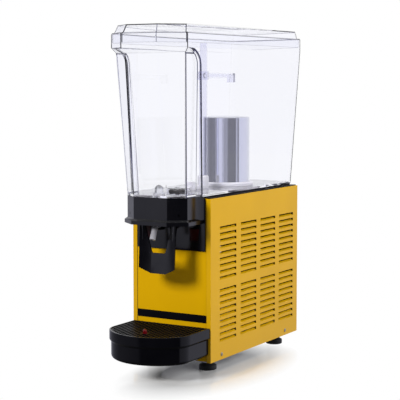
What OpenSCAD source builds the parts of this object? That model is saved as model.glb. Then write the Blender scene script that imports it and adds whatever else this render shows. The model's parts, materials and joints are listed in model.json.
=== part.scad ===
// Single-tank cold drink dispenser: louvred cabinet, clear tank with a faceted front, tap and drip tray.
// Millimetres, +Z up, front towards -Y. Sizes in Y are measured from the cabinet's front face.

/* [Cabinet] */
// Width over the side panels
cab_w = 190; // [188:1:196]
// Depth from the front face to the rear face
cab_d = 400; // [398:1:404]
// Height of the sheet metal box, without its feet
cab_h = 340; // [338:1:344]
// Thickness of the sheet steel
sheet = 1.5; // [1.2:0.1:1.6]
// Width of the flange that each side panel turns in at the front
flange_w = 10; // [9:0.5:11]
// How far the front panel stands back behind the flanges
front_inset = 1; // [0.5:0.1:1]
// Height of a rubber foot
foot_h = 22; // [20:1:24]
// Diameter of a rubber foot
foot_d = 37; // [32:1:40]

/* [Louvres] */
// Length of one louvre
louvre_len = 70; // [60:1:72]
// Height of the slot that a louvre's flap is bent from
louvre_h = 6.5; // [5:0.5:7.5]
// Angle by which a flap is bent inward
louvre_bend = 40; // [25:1:50]
// Distance between rows
louvre_pitch = 13.1; // [12:0.1:13.2]
// Rows in each of the two blocks
louvre_rows = 9; // [6:1:9]
// Height of the top row above the floor
louvre_top = 302; // [298:1:304]

/* [Tank] */
// Height of the tank's underside above the cabinet's top
tank_gap = 6; // [6:0.5:7]
// Height of the tank from its underside to the rim
tank_h = 301; // [290:1:305]
// Height of the rim band
rim_h = 28; // [24:1:30]
// Wall thickness of the tank
tank_wall = 3; // [2.5:0.1:3.5]
// Thickness of the tank's floor
tank_floor = 4; // [3.5:0.1:4]
// How far the rim's rear edge lies behind the cabinet's front face
tank_back = 425; // [420:1:428]
// How far the rim stands out in front of the cabinet
rim_reach = 123.9; // [118:0.1:126]
// Height of the lid above the rim
lid_h = 18.5; // [16:0.5:22]

/* [Cooling] */
// Diameter of the steel cooling drum
drum_d = 106; // [100:1:108]
// Height of the drum above the cabinet's top
drum_h = 162; // [150:1:165]
// Distance of the drum's axis from the front face
drum_y = 227; // [222:1:230]
// Distance of the pump's axis from the front face
pump_y = 25; // [24:1:26]
// Distance of the riser tube from the front face
riser_y = 130; // [126:1:134]

/* [Tap] */
// Distance of the piston's axis in front of the front face
tap_y = -46; // [-46.5:0.1:-45.5]
// Forward lean of the lever at rest, in degrees
lever_lean = 3; // [0:0.5:4]
// Half the lever's width
lever_half = 43; // [40:1:44]
// Outer diameter of the spout tube
spout_d = 12; // [11:0.5:12.5]

/* [Drip tray] */
// Half the tray's width
tray_half = 93.5; // [91:0.5:94]
// Length of the tray's straight sides
tray_c = 77.5; // [74:0.5:80]
// Radius of the tray's front corners
tray_corner = 50; // [46:1:52]
// How far the tray's front stands out from the cabinet
tray_reach = 150; // [149:0.5:152]
// Height of the tray's top above the floor
tray_top = 95; // [94:1:97]
// Distance between the grid's slats
slat_pitch = 9.4; // [8.4:0.1:10]

/* [Hidden] */
$fn = 72;

// The origin is the middle of the footprint, so the cabinet's front face lies at y = front
front = (tray_reach - tank_back) / 2;
hw = cab_w / 2;
z0 = foot_h;
z1 = foot_h + cab_h;
pan_front = front_inset + sheet;
pan_back = cab_d - 2 * sheet;
pan_lip = 20;
panel_half = hw - flange_w - 0.4;
slip = 0.3;

steel_yellow = "#e0b21c";
black = "#1d1d22";
clear = [0.93, 0.94, 0.97, 0.35];
milk = "#eceae4";
copper = "#b8734a";
dark_red = "#6d1016";

foot_x = 66;
foot_ys = [38, 341];
screw_ys = [45.7, 339];
screw_z = 33;
gland_z = z0 + pan_lip + 8.2;
louvre_starts = [38, 128.5, 217.8, 307];
rear_starts = [14, 100];
louvre_zs = [for (i = [0:2 * louvre_rows]) if (i != louvre_rows) louvre_top - i * louvre_pitch];

// Heights of the tank's levels
tank_z = z1 + tank_gap;
floor_z = tank_z + tank_floor;
rim_z = tank_z + tank_h;
lip_z = rim_z + rim_h;
lid_z = lip_z + lid_h;
deck_z = z1 + 2;
seat_z = tank_z - slip;

// Angle of the faceted corners in plan, and the two factors by which an inset moves their ends
facet = 39;
facet_in = tan(facet / 2);
facet_out = tan(45 - facet / 2);

// Front outlines as [half of the front flat, front y, half width, y of the facet's end]
nose_low = [40.2, -81.7, 71.5, -56.4];
nose_high = [39.2, -rim_reach + 11, 83.2, -77.3];
rim_plan = [41.5, -rim_reach, 91.5, -83.4];
lid_plan = [36.4, -rim_reach + 13.9, 81.9, -73];
collar_plan = [40.1, -80.8, 72.5, -54.6];
lip_plan = [42.5, -86.5, 77.5, -58.2];

// Tank sides: half width and rear y at the bottom and at the top, and the step behind the faceted front
side_low = 86;
back_low = 390;
step_low = -19;
step_high = -32;
arch_ry = 52;
arch_rz = 35;
corner_r = 10;

drum_r = drum_d / 2;
coil_r = drum_r - 5.4;
coil_z = deck_z + 12;
coil_pitch = 14;
coil_turns = 8;
spigot_r = 11.8;
valve_r = 9;
stem_r = 3;
rim_wall = 3.2;
arm_z = 614;

// Lever pivot, and the spout's axis from its cup to its tip
pivot = [-64, z1 - 30];
pin_r = 2.5;
cup_z = z1 - 49;
spout_from = [-54.3, z1 - 39.5];
spout_tilt = 24;
spout_len = 46;

switch_x = 58;
switch_z = z1 - 74;
rocker_axis_y = -1.5;
rocker_tilt = 12;

// The tray's front is one arc across, which runs into a rounder corner at each side
tray_a = tray_half - tray_corner;
tray_k = tray_reach - tray_c - tray_corner;
tray_s = (tray_a * tray_a - tray_k * tray_k) / (2 * tray_k);
tray_front_r = tray_s + tray_reach - tray_c;
tray_turn = atan(tray_a / tray_s);
tray_z = tray_top - 59;
ledge_z = tray_top - 6;
hook_x = 55;
hook_z = tray_top - 22.7;
float_y = -102;

// Cooling circuit inside the cabinet
comp_y = 300;
comp_feet = [[-62, 262], [62, 262], [-62, 338], [62, 338]];
stub_z = 212;
cond_y = 60;
cond_top = 195;
cond_half = 71;
cond_rows = [cond_y + 10, cond_y + 30];
cond_step = 24;
cond_zs = [for (i = [0:5]) 60 + cond_step * i];
fan_z = 118;
pipe_d = 8;
drier_from = 130;
drier_len = 76;
drier_x = -60;
drier_z = 232;

module from_front() translate([0, front, 0]) children();

module on_x(len) rotate([90, 0, 90]) linear_extrude(len) children();

module on_y(len) rotate([90, 0, 0]) linear_extrude(len) children();

module both_sides() {
  children();
  mirror([1, 0, 0]) children();
}

function arc(cx, cy, r, from, to, steps) = [
  for (i = [0:steps]) let (a = from + (to - from) * i / steps) [cx + r * cos(a), cy + r * sin(a)]
];

function corner(cx, cy, r, from) = arc(cx, cy, r, from, from + 90, 6);

// Faceted outline, inset by t, closed at the rear with corners of radius r
function outline(p, back, t = 0, r = 0.01) = concat(
  [[-p[0] + t * facet_in, p[1] + t], [p[0] - t * facet_in, p[1] + t], [p[2] - t, p[3] + t * facet_out]],
  corner(p[2] - t - r, back - t - r, r, 0),
  corner(-p[2] + t + r, back - t - r, r, 90),
  [[-p[2] + t, p[3] + t * facet_out]]
);

// Louvred sheet: outer face at y = 0, flaps bent towards +y, slots starting at the given x
module vent_sheet(length, bottom, starts) {
  translate([0, sheet, 0]) on_y(sheet) difference() {
    translate([0, bottom]) square([length, z1 - bottom]);
    for (x = starts, z = louvre_zs) translate([x, z - louvre_h]) square([louvre_len, louvre_h]);
  }
  for (x = starts) translate([x + slip, 0, 0]) on_x(louvre_len - 2 * slip)
    for (z = louvre_zs) flap(z - louvre_h);
}

module flap(z) {
  tip = louvre_h * [sin(louvre_bend), cos(louvre_bend)];
  polygon([
    [0, z],
    [tip[0], z + tip[1]],
    [tip[0] + sheet * cos(louvre_bend), z + tip[1] - sheet * sin(louvre_bend)],
    [sheet, z - 0.5]
  ]);
}

// Helix of round wire about the z axis, as one closed tube
module coil(radius, wire, pitch, turns, per_turn, sides) {
  rings = turns * per_turn;
  pts = [
    for (i = [0:rings], j = [0:sides - 1])
      let (a = 360 * i / per_turn, b = 360 * j / sides, r = radius + wire * cos(b))
        [r * cos(a), r * sin(a), pitch * i / per_turn + wire * sin(b)]
  ];
  function at(i, j) = i * sides + j % sides;
  polyhedron(pts, concat(
    [for (j = [1:sides - 2]) [0, j, j + 1]],
    [for (j = [1:sides - 2]) [at(rings, 0), at(rings, j + 1), at(rings, j)]],
    [for (i = [0:rings - 1], j = [0:sides - 1]) [at(i, j), at(i + 1, j), at(i + 1, j + 1)]],
    [for (i = [0:rings - 1], j = [0:sides - 1]) [at(i, j), at(i + 1, j + 1), at(i, j + 1)]]
  ));
}

// Copper pipe through a list of points, its elbows slightly swollen where they are soldered
module pipe(points, d) {
  for (i = [1:len(points) - 1]) {
    step = points[i] - points[i - 1];
    translate(points[i - 1])
      rotate([0, acos(step[2] / norm(step)), atan2(step[1], step[0])])
        cylinder(d = d, h = norm(step), $fn = 24);
    if (i < len(points) - 1) translate(points[i]) sphere(d = d + 0.4, $fn = 24);
  }
}

module base_plate() color("#b9bbbd") from_front() difference() {
  union() {
    translate([-hw + sheet, pan_front, z0]) cube([cab_w - 2 * sheet, pan_back - pan_front, sheet]);
    for (y = [pan_front, pan_back - sheet]) translate([-80, y, z0]) cube([160, sheet, pan_lip]);
    both_sides() translate([hw - 2 * sheet, pan_front, z0]) cube([sheet, pan_back - pan_front, pan_lip]);
  }
  for (y = [120:16:216]) translate([-45, y, z0 - 1]) cube([90, 6, sheet + 2]);
  screw_holes();
}

module screw_holes() for (y = screw_ys)
  translate([-hw - 5, y, screw_z]) rotate([0, 90, 0]) cylinder(r = 2.1, h = cab_w + 10);

module side_panel() difference() {
  union() {
    translate([hw, 0, 0]) rotate([0, 0, 90]) vent_sheet(cab_d, z0, louvre_starts);
    for (y = [0, cab_d - sheet]) translate([hw - flange_w, y, z0]) cube([flange_w, sheet, cab_h]);
    translate([hw - flange_w, 0, z1 - sheet]) cube([flange_w, pan_back, sheet]);
  }
  screw_holes();
}

module side_panel_right() color(steel_yellow) from_front() side_panel();

module side_panel_left() color(steel_yellow) from_front() mirror([1, 0, 0]) side_panel();

module front_panel() color(steel_yellow) from_front() difference() {
  union() {
    translate([-panel_half, front_inset, z0 + sheet]) cube([2 * panel_half, sheet, cab_h - sheet]);
    both_sides() translate([panel_half - sheet, front_inset, z0 + sheet]) cube([sheet, 12, cab_h - sheet]);
  }
  for (x = [-hook_x, hook_x]) translate([x - 10, -1, hook_z - slip]) cube([20, 10, 17]);
  for (x = [-switch_x, switch_x]) translate([x - 12.5, -1, switch_z - 15.5]) cube([25, 10, 31]);
}

module rear_panel() color(steel_yellow) from_front() difference() {
  translate([hw - sheet, cab_d - sheet, 0]) rotate([0, 0, 180])
    vent_sheet(cab_w - 2 * sheet, z0, rear_starts);
  translate([0, cab_d, gland_z]) rotate([90, 0, 0]) cylinder(r = 6, h = 10);
}

module label_strip() color(black) from_front()
  translate([-panel_half + 0.4, front_inset - 0.6, 104.5]) cube([2 * panel_half - 0.8, 0.6, 16]);

module top_deck() color(black) from_front() difference() {
  union() {
    translate([-hw + 3, pan_front, z1]) cube([cab_w - 6, cab_d - 5, deck_z - z1]);
    translate([-82, pan_front, z1]) cube([164, 384, seat_z - z1]);
  }
  translate([0, drum_y, deck_z]) cylinder(r = drum_r + 10, h = 10);
  translate([0, drum_y, z1 - 1]) cylinder(r = 30, h = 10);
  translate([0, pump_y, z1 - 1]) cylinder(r = 19, h = 10);
}

module foot(x, y) color(black) from_front() translate([x, y, 0]) rotate_extrude() polygon([
  [0, 0], [foot_d / 2 - 1.5, 0], [foot_d / 2, 1.5], [foot_d / 2, foot_h - 14],
  [foot_d / 2 - 2, foot_h - 11.5], [13, foot_h - 10], [13, foot_h - 5], [15.5, foot_h - 3.5],
  [15.5, foot_h], [0, foot_h]
]);

module foot_front_left() foot(-foot_x, foot_ys[0]);

module foot_front_right() foot(foot_x, foot_ys[0]);

module foot_rear_left() foot(-foot_x, foot_ys[1]);

module foot_rear_right() foot(foot_x, foot_ys[1]);

module side_screws() color("#a08a3a") from_front() both_sides() for (y = screw_ys)
  translate([hw, y, screw_z]) rotate([0, 90, 0]) rotate_extrude()
    polygon([[0, -5], [2, -5], [2, 0], [4.2, 0], [4, 0.8], [2.8, 1.4], [0, 1.6]]);

module cable_gland() color(black) from_front() translate([0, cab_d - sheet, gland_z]) rotate([-90, 0, 0])
  rotate_extrude() polygon([
    [4, -7], [6, -7], [6, -5.5], [8, -5.5], [8, -sheet], [6, -sheet], [6, 0], [11, 0], [11, 5], [9, 6],
    [8, 12], [6.5, 14], [4, 14]
  ]);

// Black nose under the tank's front: a faceted ring with a lip, flared at the rear to meet the switch panel
module collar_flat() {
  polygon(outline(collar_plan, -2.5));
  both_sides() difference() {
    translate([collar_plan[2] - 1, -29]) square([11, 26.5]);
    translate([collar_plan[2] + 47, -29]) circle(r = 47);
  }
}

module collar_hollow(low, high) translate([0, 0, low]) linear_extrude(high - low)
  polygon(outline(collar_plan, -2.5, 4));

module nose_collar() color(black) from_front() difference() {
  union() {
    difference() {
      union() {
        translate([0, 0, z1 - 43]) linear_extrude(seat_z - z1 + 43) collar_flat();
        translate([0, 0, z1 - 51]) linear_extrude(7.5) polygon(outline(lip_plan, -2.5));
        hull() {
          translate([0, 0, z1 - 43.5]) linear_extrude(0.1) polygon(outline(lip_plan, -2.5, 0.6));
          translate([0, 0, z1 - 39.5]) linear_extrude(0.1) polygon(outline(collar_plan, -2.5));
        }
      }
      collar_hollow(z1 - 60, z1 + 20);
    }
    intersection() {
      translate([0, 0, z1 - 43]) linear_extrude(40) polygon(outline(collar_plan, -2.5, 1));
      union() {
        both_sides() translate([48, pivot[0] - 12, pivot[1] - 9]) cube([6, 20, 18]);
        translate([-22, -90, z1 - 32]) cube([44, 100, 4]);
      }
    }
  }
  translate([0, tap_y, z1 - 40]) cylinder(r = 15.1, h = 20);
  translate([-60, pivot[0], pivot[1]]) rotate([0, 90, 0]) cylinder(r = pin_r, h = 120);
}

module switch_panel() color(black) from_front() difference() {
  union() {
    translate([-82.5, -2.5, 253.5]) cube([165, front_inset + 2.5, z1 - 253.5]);
    translate([-4, -11, z1 - 100]) cube([8, 9, 38]);
  }
  for (x = [-switch_x, switch_x]) translate([x - 12.2, -5, switch_z - 15.1]) cube([24.4, 10, 30.2]);
}

module switch_frame(x) color(black) from_front() translate([x, 0, switch_z]) difference() {
  union() {
    translate([-13, -4.5, -16]) cube([26, 2, 32]);
    translate([-12.2, -2.5, -15.1]) cube([24.4, 18.5, 30.2]);
  }
  translate([-10.7, -10, -13.8]) cube([21.4, 24, 27.6]);
  translate([-15, rocker_axis_y, 0]) rotate([0, 90, 0]) cylinder(r = 1.56, h = 30);
}

module switch_frame_left() switch_frame(-switch_x);

module switch_frame_right() switch_frame(switch_x);

module rocker(x) color(dark_red) from_front() translate([x, rocker_axis_y, switch_z]) {
  translate([-10.3, 0, 0]) rotate([rocker_tilt, 0, 0]) on_x(20.6)
    polygon([[3, -9], [-3.5, -12.6], [-2.2, 0], [-3.5, 12.6], [3, 9]]);
  translate([-11.9, 0, 0]) rotate([0, 90, 0]) cylinder(r = 1.5, h = 23.8);
}

module rocker_left() rocker(-switch_x);

module rocker_right() rocker(switch_x);

// White spout: a cup that takes the tank's spigot, and a tube that slants forward out of its foot
module spout() color(milk) from_front() difference() {
  union() {
    translate([0, tap_y, cup_z]) cylinder(r = 15, h = 33);
    translate([0, tap_y, z1 - 28]) cylinder(r = 19, h = 3);
    spout_axis() cylinder(d = spout_d, h = spout_len);
  }
  translate([0, tap_y, cup_z + 3.5]) cylinder(r = spigot_r + 0.2, h = 40);
  translate([0, tap_y, cup_z - 9]) cylinder(r = stem_r + 0.08, h = 20);
  spout_axis() cylinder(d = spout_d - 4, h = spout_len + 1);
}

module spout_axis() translate([0, spout_from[0], spout_from[1]]) rotate([180 - spout_tilt, 0, 0]) children();

module lever_pins() color("silver") from_front() both_sides()
  translate([29.5, pivot[0], pivot[1]]) rotate([0, 90, 0]) cylinder(r = pin_r, h = 24.5);

module lever_spring() color("silver") from_front()
  translate([-35.3, pivot[0], pivot[1]]) rotate([0, 90, 0]) coil(pin_r + 0.62, 0.5, 1.45, 3.5, 12, 6);

// Push lever: three facets that cradle the cup, a window for the spout, cheeks up to the pivots, a finger
module tap_lever() color(black) from_front() translate([0, pivot[0], pivot[1]]) rotate([-lever_lean, 0, 0])
  translate([0, -pivot[0], -pivot[1]]) difference() {
    union() {
      intersection() {
        translate([0, 0, 200]) linear_extrude(z1 - 240) lever_plan();
        on_y(200) lever_face();
      }
      both_sides() {
        translate([36, 0, 0]) on_x(4) lever_cheek();
        translate([36, pivot[0], pivot[1]]) rotate([0, 90, 0]) cylinder(r = 6, h = 10);
      }
      translate([-38, -29, z1 - 54]) cube([76, 5, 6]);
      translate([-4, 0, 0]) on_x(8) lever_finger();
    }
    translate([-60, pivot[0], pivot[1]]) rotate([0, 90, 0]) cylinder(r = pin_r + 0.03, h = 120);
  }

module lever_plan() {
  t = 3.5;
  fold = [17.5, -46];
  tip = [lever_half, -52.5];
  polygon([
    [-tip[0], tip[1]], [-fold[0], fold[1]], fold, tip,
    [tip[0], tip[1] + t], [fold[0], fold[1] + t], [-fold[0], fold[1] + t], [-tip[0], tip[1] + t]
  ]);
}

module lever_face() difference() {
  polygon([
    [-17.5, 209], [17.5, 209], [lever_half, 220], [lever_half, z1 - 40], [-lever_half, z1 - 40],
    [-lever_half, 220]
  ]);
  polygon([
    [-15, 251.5], [15, 251.5], [17.5, 255], [36, z1 - 39], [-36, z1 - 39], [-17.5, 255]
  ]);
}

module lever_cheek() {
  translate(pivot) circle(r = 6);
  polygon([
    [-70, pivot[1]], [pivot[0], pivot[1] + 6], [-24, z1 - 47], [-24, z1 - 54], [-40, z1 - 58], [-46, z1 - 84],
    [-51, z1 - 84], [-52, z1 - 50]
  ]);
}

module lever_finger() polygon([
  [-50.5, z1 - 62.5], [-50.5, z1 - 58.5], [-34, z1 - 58.5], [-28, z1 - 49], [-24, z1 - 49], [-24, z1 - 54],
  [-31, z1 - 62.5]
]);

// Tap piston: dome in the tank, valve plate, fins in the spigot, and the stem that the lever's finger lifts
module piston() color([0.9, 0.9, 0.92, 0.6]) from_front() translate([0, tap_y, 0]) {
  translate([0, 0, floor_z + 2]) cylinder(r = 8.9, h = 8.1);
  translate([0, 0, floor_z + 10.1]) sphere(r = 8.9);
  translate([0, 0, floor_z + 1.4]) cylinder(r = 12.5, h = 2);
  translate([0, 0, z1 - 17]) cylinder(r = 4, h = 29);
  for (a = [0, 120, 240]) rotate([0, 0, a]) translate([0, -0.8, z1 - 17]) cube([valve_r - 0.1, 1.6, 21]);
  translate([0, 0, z1 - 55]) cylinder(r = stem_r, h = 40);
  translate([0, 0, z1 - 55]) sphere(r = stem_r);
}

module piston_seal() color("#c9c9c4") from_front() translate([0, tap_y, floor_z + 0.2]) difference() {
  cylinder(r = 12.5, h = 1.2);
  translate([0, 0, -1]) cylinder(r = 10, h = 4);
}

// Tank: full-width box behind, faceted nose in front, a flare up to the rim band, all of them hollow
module slab(z, points) translate([0, 0, z]) linear_extrude(0.1) polygon(points);

module tank_box(t) intersection() {
  hull() {
    slab(tank_z + tank_floor * min(t, 1), box_plan(side_low - t, back_low - t));
    slab(rim_z, box_plan(rim_plan[2] - t, tank_back - t));
  }
  translate([-hw, 0, 0]) on_x(cab_w) step_profile(t);
}

function box_plan(half, back) = concat(
  [[-half, -100], [half, -100]],
  corner(half - corner_r, back - corner_r, corner_r, 0),
  corner(-half + corner_r, back - corner_r, corner_r, 90)
);

// Side view of the full-width part: its front edge rises to an arch that meets the rim's corner
module step_profile(t) polygon(concat(
  [[tank_back, tank_z], [step_low + t, tank_z]],
  [
    for (a = [0:10:90])
      [step_high - arch_ry + (arch_ry + t) * cos(a), rim_z - arch_rz + (arch_rz + t) * sin(a)]
  ],
  [[step_high - arch_ry, rim_z + 20], [tank_back, rim_z + 20]]
));

module tank_nose(t) {
  hull() {
    slab(tank_z + tank_floor * min(t, 1), outline(nose_low, 20, t));
    slab(rim_z - 11, outline(nose_high, 20, t));
  }
  hull() {
    slab(rim_z - 11.1, outline(nose_high, -20, t));
    slab(rim_z, outline(rim_plan, -20, t));
  }
}

module tank() color(clear) from_front() difference() {
  union() {
    difference() {
      union() {
        tank_box(0);
        tank_nose(0);
        translate([0, 0, rim_z]) linear_extrude(rim_h) polygon(outline(rim_plan, tank_back, 0, corner_r));
      }
      tank_box(tank_wall);
      tank_nose(tank_wall);
      translate([0, 0, rim_z - 0.2]) linear_extrude(rim_h + 1)
        polygon(outline(rim_plan, tank_back, rim_wall, corner_r));
    }
    translate([0, tap_y, tank_z - 28]) cylinder(r = spigot_r, h = 30);
    translate([0, pump_y, floor_z - 1]) cylinder(r = 2.5, h = 8);
  }
  translate([0, tap_y, tank_z - 30]) cylinder(r = valve_r, h = 40);
  translate([0, tap_y, tank_z - 24]) difference() {
    cylinder(r = spigot_r + 1, h = 1.6);
    cylinder(r = spigot_r - 1.05, h = 1.6);
  }
  translate([0, drum_y, tank_z - 1]) cylinder(r = drum_r + 3, h = tank_floor + 2);
}

module spigot_seal() color(black) from_front() translate([0, tap_y, tank_z - 23.2]) rotate_extrude()
  translate([spigot_r - 0.45, 0]) circle(r = 0.6, $fn = 24);

module drum_seal() color(milk) from_front() translate([0, drum_y, 0]) rotate_extrude() polygon([
  [drum_r + slip, tank_z - 2.2], [drum_r + 6, tank_z - 2.2], [drum_r + 6, tank_z], [drum_r + 3, tank_z],
  [drum_r + 3, floor_z], [drum_r + 8, floor_z], [drum_r + 8, floor_z + 6], [drum_r + 4, floor_z + 9],
  [drum_r + slip, floor_z + 9]
]);

module pump_cover() color(clear) from_front() translate([0, pump_y, floor_z]) difference() {
  union() {
    cylinder(r = 24, h = 6);
    translate([0, 0, 6]) cylinder(r1 = 24, r2 = 14, h = 2.5);
    translate([-7.5, 0, 0]) cube([15, 24, 6]);
  }
  translate([0, 0, -1]) cylinder(r = 21, h = 7);
  translate([0, 0, 5.9]) cylinder(r1 = 21, r2 = 12, h = 1.2);
  cylinder(r = 7, h = 20);
  translate([0, 30, 3]) rotate([90, 0, 0]) cylinder(r = 2.2, h = 15);
}

module pump_duct() color(milk) from_front() translate([0, 0, floor_z]) difference() {
  union() {
    translate([-7.5, pump_y + 24, 0]) cube([15, riser_y - pump_y - 24, 6]);
    translate([-6.5, 71, 0]) cube([13, 13, 16.5]);
    translate([0, riser_y, 0]) cylinder(r = 11, h = 24);
    translate([0, riser_y, 24]) cylinder(r1 = 11, r2 = 9.5, h = 3);
  }
  translate([0, riser_y, 7]) cylinder(r = 8, h = 30);
  translate([0, riser_y, 3]) cylinder(r = 5, h = 10);
  translate([0, riser_y, 3]) rotate([90, 0, 0]) cylinder(r = 2.2, h = riser_y);
}

module impeller() color("#2c2b2b") from_front() translate([0, pump_y, floor_z + 0.5]) difference() {
  union() {
    cylinder(r = 19, h = 2.5);
    cylinder(r = 5, h = 5.2);
    for (a = [0:60:300]) rotate([0, 0, a]) translate([3, -0.8, 0]) cube([15, 1.6, 4.2]);
  }
  translate([0, 0, -1]) cylinder(r = 2.55, h = 10);
}

module riser_tube() color(clear) from_front() translate([0, riser_y, 0]) difference() {
  translate([0, 0, floor_z + 7]) cylinder(r = 8, h = lip_z - floor_z - 20);
  cylinder(r = 6.5, h = lip_z);
  translate([0, 0, arm_z]) rotate([-90, 0, 0]) cylinder(r = 3.5, h = 20);
}

module spray_arm() color(clear) from_front() translate([0, riser_y, arm_z]) difference() {
  union() {
    translate([0, 0, -9]) cylinder(r = 11, h = 18);
    rotate([-90, 0, 0]) cylinder(r1 = 7, r2 = 5, h = 117);
    translate([-6.5, 114.5, -14.5]) cube([13, 13, 20]);
  }
  translate([0, 0, -20]) cylinder(r = 8, h = 40);
  translate([0, 121, -20]) cylinder(r = 3.5, h = 22);
  rotate([-90, 0, 0]) cylinder(r = 3, h = 121);
}

module lid() color(clear) from_front() difference() {
  union() {
    translate([0, 0, lip_z + 0.2]) linear_extrude(2) polygon(outline(rim_plan, tank_back, 1, corner_r - 1));
    hull() {
      slab(lip_z + 2, outline(rim_plan, tank_back, 5.5, corner_r));
      slab(lid_z - 0.1, outline(lid_plan, tank_back - 8, 0, corner_r));
    }
    translate([0, 0, lip_z - 18]) linear_extrude(19)
      polygon(outline(rim_plan, tank_back, rim_wall + 0.6, corner_r));
  }
  hull() {
    slab(lip_z + 0.5, outline(rim_plan, tank_back, 8, corner_r));
    slab(lid_z - 2.6, outline(lid_plan, tank_back - 8, 2.5, corner_r));
  }
  translate([0, 0, lip_z - 20]) linear_extrude(21)
    polygon(outline(rim_plan, tank_back, rim_wall + 2.8, corner_r));
}

// The tray's outline from the left rear corner round the front, inset by d: two corners and the arc across
function tray_outline(d, back) = let (step = tray_turn / 9) concat(
  [[d - tray_half, back]],
  arc(-tray_a, -tray_c, tray_corner - d, 180, 270 - tray_turn, 6),
  arc(0, tray_s - tray_c, tray_front_r - d, 270 - tray_turn + step, 270 + tray_turn - step, 16),
  arc(tray_a, -tray_c, tray_corner - d, 270 + tray_turn, 360, 6),
  [[tray_half - d, back]]
);

// Solid through a stack of [height, inset] levels of that outline
module tray_stack(levels, back) {
  rings = [for (level = levels) tray_outline(level[1], back)];
  n = len(rings[0]);
  last = len(levels) - 1;
  polyhedron(
    [for (k = [0:last], p = rings[k]) [p[0], p[1], levels[k][0]]],
    concat(
      [[for (i = [0:n - 1]) i], [for (i = [n - 1:-1:0]) last * n + i]],
      [
        for (k = [0:last - 1], i = [0:n - 1]) let (j = (i + 1) % n)
          [k * n + i, (k + 1) * n + i, (k + 1) * n + j, k * n + j]
      ]
    )
  );
}

module drip_tray() color(black) from_front() {
  difference() {
    tray_stack(concat(
      [for (a = [0:22.5:90]) [tray_z + 7 - 7 * cos(a), 10.6 - 7 * sin(a)]],
      [[tray_top - 24, 3.6], [tray_top - 20, 0], [tray_top - 1, 0], [tray_top, 1]]
    ), -0.8);
    tray_stack(concat(
      [for (a = [0:30:90]) [tray_z + 8.5 - 5 * cos(a), 11.6 - 5 * sin(a)]],
      [[ledge_z, 6.6]]
    ), -5);
    translate([0, 0, ledge_z - 0.01]) linear_extrude(10) polygon(tray_outline(3.4, -5));
  }
  translate([0, float_y, tray_z + 3]) cylinder(r = 2.5, h = 28);
  both_sides() translate([hook_x - 8, -1, hook_z]) cube([16, 7, 4]);
  both_sides() translate([hook_x - 8, pan_front + slip, hook_z - 10]) cube([16, 6 - pan_front - slip, 14]);
}

module grid_plan(t) polygon(tray_outline(t + 3.8, -5.4 - t));

module drip_grid() color(black) from_front() {
  half = floor((tray_half - 8) / slat_pitch);
  translate([0, 0, ledge_z + slip]) linear_extrude(4) difference() {
    grid_plan(0);
    difference() {
      intersection() {
        grid_plan(4);
        for (i = [-half:half - 1])
          translate([(i + 0.5) * slat_pitch - slat_pitch / 3, -200]) square([slat_pitch * 2 / 3, 200]);
      }
      translate([0, float_y]) circle(r = 8.5);
    }
    translate([0, float_y]) circle(r = 5);
  }
  intersection() {
    translate([0, 0, ledge_z + slip]) linear_extrude(2) grid_plan(1);
    for (y = [-45, -116]) translate([-100, y, 0]) cube([200, 3, 200]);
  }
}

module float() color("#b3161c") from_front() translate([0, float_y, tray_z + 3.5 + slip]) difference() {
  union() {
    cylinder(r = 12, h = 13);
    cylinder(r = 4, h = 60.2);
    translate([0, 0, 60.2]) sphere(r = 4);
  }
  translate([0, 0, -1]) cylinder(r = 2.65, h = 30);
}

// Steel drum that stands up through the tank's floor, and the cooling coil inside it
module cooling_drum() color("#c3c6ca") from_front() translate([0, drum_y, 0]) rotate_extrude() polygon(concat(
  [[drum_r - 1.2, deck_z], [drum_r + 5, deck_z], [drum_r + 5, deck_z + 1.5], [drum_r, deck_z + 1.5]],
  [for (a = [0:15:90]) [drum_r - 4 + 4 * cos(a), z1 + drum_h - 4 + 4 * sin(a)]],
  [[0, z1 + drum_h], [0, z1 + drum_h - 1.2], [drum_r - 4, z1 + drum_h - 1.2], [drum_r - 1.2, z1 + drum_h - 4]]
));

module drum_coil() color(copper) from_front()
  translate([0, drum_y, coil_z]) coil(coil_r, 4, coil_pitch, coil_turns, 20, 6);

module pump_motor() color("#8d8f92") from_front() translate([0, pump_y, z1 - 72]) difference() {
  union() {
    cylinder(r = 20, h = 56);
    translate([0, 0, -6]) cylinder(r = 8, h = 8);
  }
  translate([0, 0, 30]) cylinder(r = 3.05, h = 30);
}

module motor_bracket() color("#b9bbbd") from_front() difference() {
  union() {
    translate([-40, pan_front + 2, z1 - 16]) cube([80, 46, 2]);
    both_sides() translate([38, pan_front + 2, z1 - 16]) cube([2, 46, 16]);
    both_sides() translate([38, pan_front + 2, z1 - 2]) cube([12, 46, 2]);
  }
  translate([0, pump_y, z1 - 20]) cylinder(r = 6, h = 10);
}

module drive_magnet() color("#3a3a3d") from_front() translate([0, pump_y, 0]) {
  translate([0, 0, z1 - 11]) cylinder(r = 17, h = 15);
  translate([0, 0, z1 - 40]) cylinder(r = 3, h = 30);
}

// Hermetic compressor: a domed pot with a weld flange, on a foot plate with four rubber grommets
module compressor() color(black) from_front() {
  translate([0, comp_y, 0]) rotate_extrude() polygon([
    [0, 44], [50, 44], [60, 54], [62, 70], [62, 110], [65, 112], [65, 118], [62, 120], [62, 150], [57, 178],
    [42, 194], [18, 201], [0, 202]
  ]);
  difference() {
    translate([-75, 250, 41]) cube([150, 100, 3.5]);
    for (p = comp_feet) translate([p[0], p[1], 30]) cylinder(r = 4, h = 20);
  }
  for (x = [-20, 30]) translate([x, comp_y, 190]) cylinder(r = 5, h = stub_z - 190);
}

module compressor_grommets() color(black) from_front() for (p = comp_feet)
  translate([p[0], p[1], z0 + sheet]) rotate_extrude() polygon([
    [0, 0], [10, 0], [10, 6], [8, 9], [10, 12], [10, 41 - z0 - sheet], [0, 41 - z0 - sheet]
  ]);

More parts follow.
